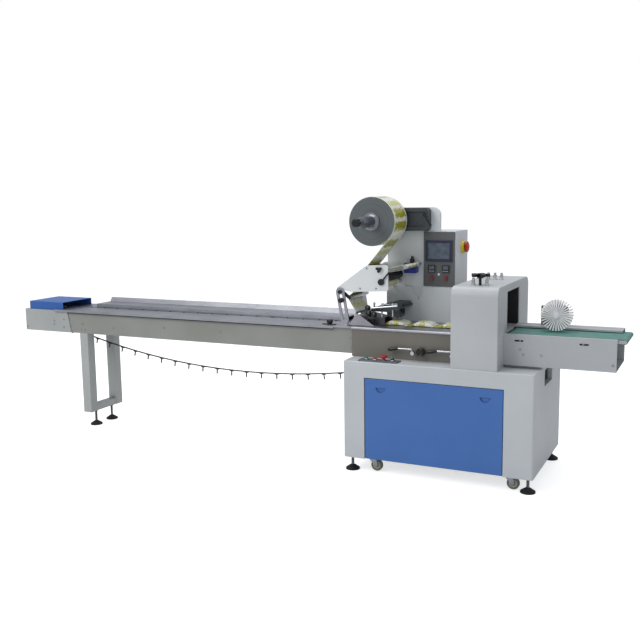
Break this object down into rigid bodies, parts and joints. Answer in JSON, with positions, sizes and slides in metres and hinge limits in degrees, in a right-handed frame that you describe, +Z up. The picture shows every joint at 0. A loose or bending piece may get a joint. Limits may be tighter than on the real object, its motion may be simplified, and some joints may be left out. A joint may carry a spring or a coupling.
{
  "type": "horizontal flow wrapper",
  "caption": "Horizontal flow-wrapping machine: long lug-chain infeed, film reel over a forming box, fin-seal table, rotary end-seal jaws and a short discharge belt on a closed cabinet.",
  "frame": {"origin": "middle of the machine's outer box, on the floor", "axes": "+X along the product flow from the infeed tail to the discharge, +Y from the operator side to the back, +Z up"},
  "size_m": [3.726, 0.693, 1.427],
  "materials": {
    "cabinet_paint": "satin powder coat, light warm grey",
    "blue_door_paint": "satin powder coat, clear blue",
    "blue_cover_paint": "satin powder coat, blue",
    "black_foot_rubber": "matt",
    "grey_sheet_paint": "satin powder coat, mid grey",
    "brushed_stainless": "brushed",
    "chain_steel": "oiled steel",
    "stand_paint": "satin powder coat",
    "taupe_housing_paint": "satin powder coat, grey-brown",
    "black_bakelite": "semi-matt",
    "dark_panel_paint": "matt dark grey",
    "button_plastic": "gloss",
    "film_roll_print": "printed film, wound",
    "turned_aluminium": "turned",
    "dark_bracket_paint": "matt dark slate",
    "stop_button_red": "gloss",
    "white_plate_paint": "satin white",
    "black_rubber": "ground rubber",
    "blue_sensor_plastic": "moulded",
    "film_print": "printed polypropylene film",
    "end_housing_paint": "satin powder coat",
    "jaw_steel": "ground",
    "polished_chrome": "polished",
    "green_belt": "matt belt cover",
    "white_bristle": "nylon",
    "lever_chrome": "polished rod",
    "zinc_plate": "zinc plated",
    "castor_rubber": "grey-black tread"
  },
  "bodies": {
    "machine": {"back_plate": "cabinet_paint", "belt_bed": "turned_aluminium", "brush_bracket": "dark_bracket_paint", "button_plate": "dark_panel_paint", "cabinet_body": "cabinet_paint", "carriage_arms": "black_bakelite", "carriage_plates": "white_plate_paint", "carriage_posts": "brushed_stainless", "chain_track": "grey_sheet_paint", "clamp_knobs": "black_bakelite", "column_base": "cabinet_paint", "control_column": "cabinet_paint", "control_panel": "dark_panel_paint", "discharge_belt": "green_belt", "discharge_frame": "grey_sheet_paint", "door_panels": "blue_door_paint", "draw_roller": "black_rubber", "emergency_stop": "stop_button_red", "end_seal_housing": "end_housing_paint", "film_former": "brushed_stainless", "film_sensor": "blue_sensor_plastic", "film_tube": "film_print", "film_web": "film_print", "guide_rails": "brushed_stainless", "guide_rollers": "turned_aluminium", "infeed_deck": "brushed_stainless", "infeed_frame": "grey_sheet_paint", "infeed_stand": "stand_paint", "levelling_feet": "black_foot_rubber", "lug_chain_carry": "chain_steel", "lug_chain_return": "chain_steel", "press_unit": "dark_bracket_paint", "product_guide": "brushed_stainless", "push_buttons": "button_plastic", "reel_bracket": "dark_bracket_paint", "seal_housing": "taupe_housing_paint", "seal_table": "brushed_stainless", "spring_posts": "polished_chrome", "tail_cover": "blue_cover_paint", "tail_frame": "grey_sheet_paint", "tail_sprocket": "chain_steel"},
    "film_reel": {"film_roll": "film_roll_print", "reel_shaft": "turned_aluminium", "reel_knob": "black_bakelite"},
    "pull_lever_left": {"pull_lever_1": "lever_chrome"},
    "pull_lever_right": {"pull_lever_2": "lever_chrome"},
    "adjusting_knob": {"adjusting_knob": "black_bakelite"},
    "pressure_handwheel": {"pressure_handwheel": "black_bakelite"},
    "lower_jaw": {"lower_jaw": "jaw_steel"},
    "upper_jaw": {"upper_jaw": "jaw_steel"},
    "brush_rotor": {"brush_wheel": "white_bristle"},
    "castor_fork_front_left": {"castor_fork_front_left": "zinc_plate"},
    "castor_wheel_front_left": {"castor_wheel_front_left": "castor_rubber"},
    "castor_fork_front_right": {"castor_fork_front_right": "zinc_plate"},
    "castor_wheel_front_right": {"castor_wheel_front_right": "castor_rubber"},
    "castor_fork_rear_left": {"castor_fork_rear_left": "zinc_plate"},
    "castor_wheel_rear_left": {"castor_wheel_rear_left": "castor_rubber"},
    "castor_fork_rear_right": {"castor_fork_rear_right": "zinc_plate"},
    "castor_wheel_rear_right": {"castor_wheel_rear_right": "castor_rubber"}
  },
  "joints": [
    {"name": "reel_turn", "type": "hinge", "parent": "machine", "child": "film_reel", "pos_m": [0.572, -0.0345, 1.298], "axis": [0, 1, 0], "continuous": true},
    {"name": "lever_left_lift", "type": "hinge", "parent": "machine", "child": "pull_lever_left", "pos_m": [0.831, -0.1935, 0.632], "axis": [0, 1, 0], "range_deg": [0, 40]},
    {"name": "lever_right_lift", "type": "hinge", "parent": "machine", "child": "pull_lever_right", "pos_m": [1.039, -0.1935, 0.632], "axis": [0, 1, 0], "range_deg": [0, 40]},
    {"name": "adjusting_knob_turn", "type": "hinge", "parent": "machine", "child": "adjusting_knob", "pos_m": [0.874, -0.1935, 0.64], "axis": [0, 1, 0], "continuous": true},
    {"name": "pressure_wheel_turn", "type": "hinge", "parent": "machine", "child": "pressure_handwheel", "pos_m": [1.1765, -0.2115, 0.993], "axis": [0, 0, 1], "continuous": true},
    {"name": "lower_jaw_turn", "type": "hinge", "parent": "machine", "child": "lower_jaw", "pos_m": [1.1765, -0.0345, 0.712], "axis": [0, 1, 0], "continuous": true},
    {"name": "upper_jaw_turn", "type": "hinge", "parent": "machine", "child": "upper_jaw", "pos_m": [1.1765, -0.0345, 0.822], "axis": [0, 1, 0], "continuous": true},
    {"name": "brush_turn", "type": "hinge", "parent": "machine", "child": "brush_rotor", "pos_m": [1.517, -0.0345, 0.84], "axis": [0, 1, 0], "continuous": true},
    {"name": "castor_swivel_front_left", "type": "hinge", "parent": "machine", "child": "castor_fork_front_left", "pos_m": [0.633, -0.2635, 0.076], "axis": [0, 0, 1], "continuous": true},
    {"name": "castor_roll_front_left", "type": "hinge", "parent": "castor_fork_front_left", "child": "castor_wheel_front_left", "pos_m": [0.653, -0.2635, 0.0335], "axis": [0, 1, 0], "continuous": true},
    {"name": "castor_swivel_front_right", "type": "hinge", "parent": "machine", "child": "castor_fork_front_right", "pos_m": [1.349, -0.2635, 0.076], "axis": [0, 0, 1], "continuous": true},
    {"name": "castor_roll_front_right", "type": "hinge", "parent": "castor_fork_front_right", "child": "castor_wheel_front_right", "pos_m": [1.369, -0.2635, 0.0335], "axis": [0, 1, 0], "continuous": true},
    {"name": "castor_swivel_rear_left", "type": "hinge", "parent": "machine", "child": "castor_fork_rear_left", "pos_m": [0.633, 0.2865, 0.076], "axis": [0, 0, 1], "continuous": true},
    {"name": "castor_roll_rear_left", "type": "hinge", "parent": "castor_fork_rear_left", "child": "castor_wheel_rear_left", "pos_m": [0.653, 0.2865, 0.0335], "axis": [0, 1, 0], "continuous": true},
    {"name": "castor_swivel_rear_right", "type": "hinge", "parent": "machine", "child": "castor_fork_rear_right", "pos_m": [1.349, 0.2865, 0.076], "axis": [0, 0, 1], "continuous": true},
    {"name": "castor_roll_rear_right", "type": "hinge", "parent": "castor_fork_rear_right", "child": "castor_wheel_rear_right", "pos_m": [1.369, 0.2865, 0.0335], "axis": [0, 1, 0], "continuous": true}
  ],
  "couplings": [
    {"joint": "upper_jaw_turn", "follows": "lower_jaw_turn", "ratio": -1}
  ]
}
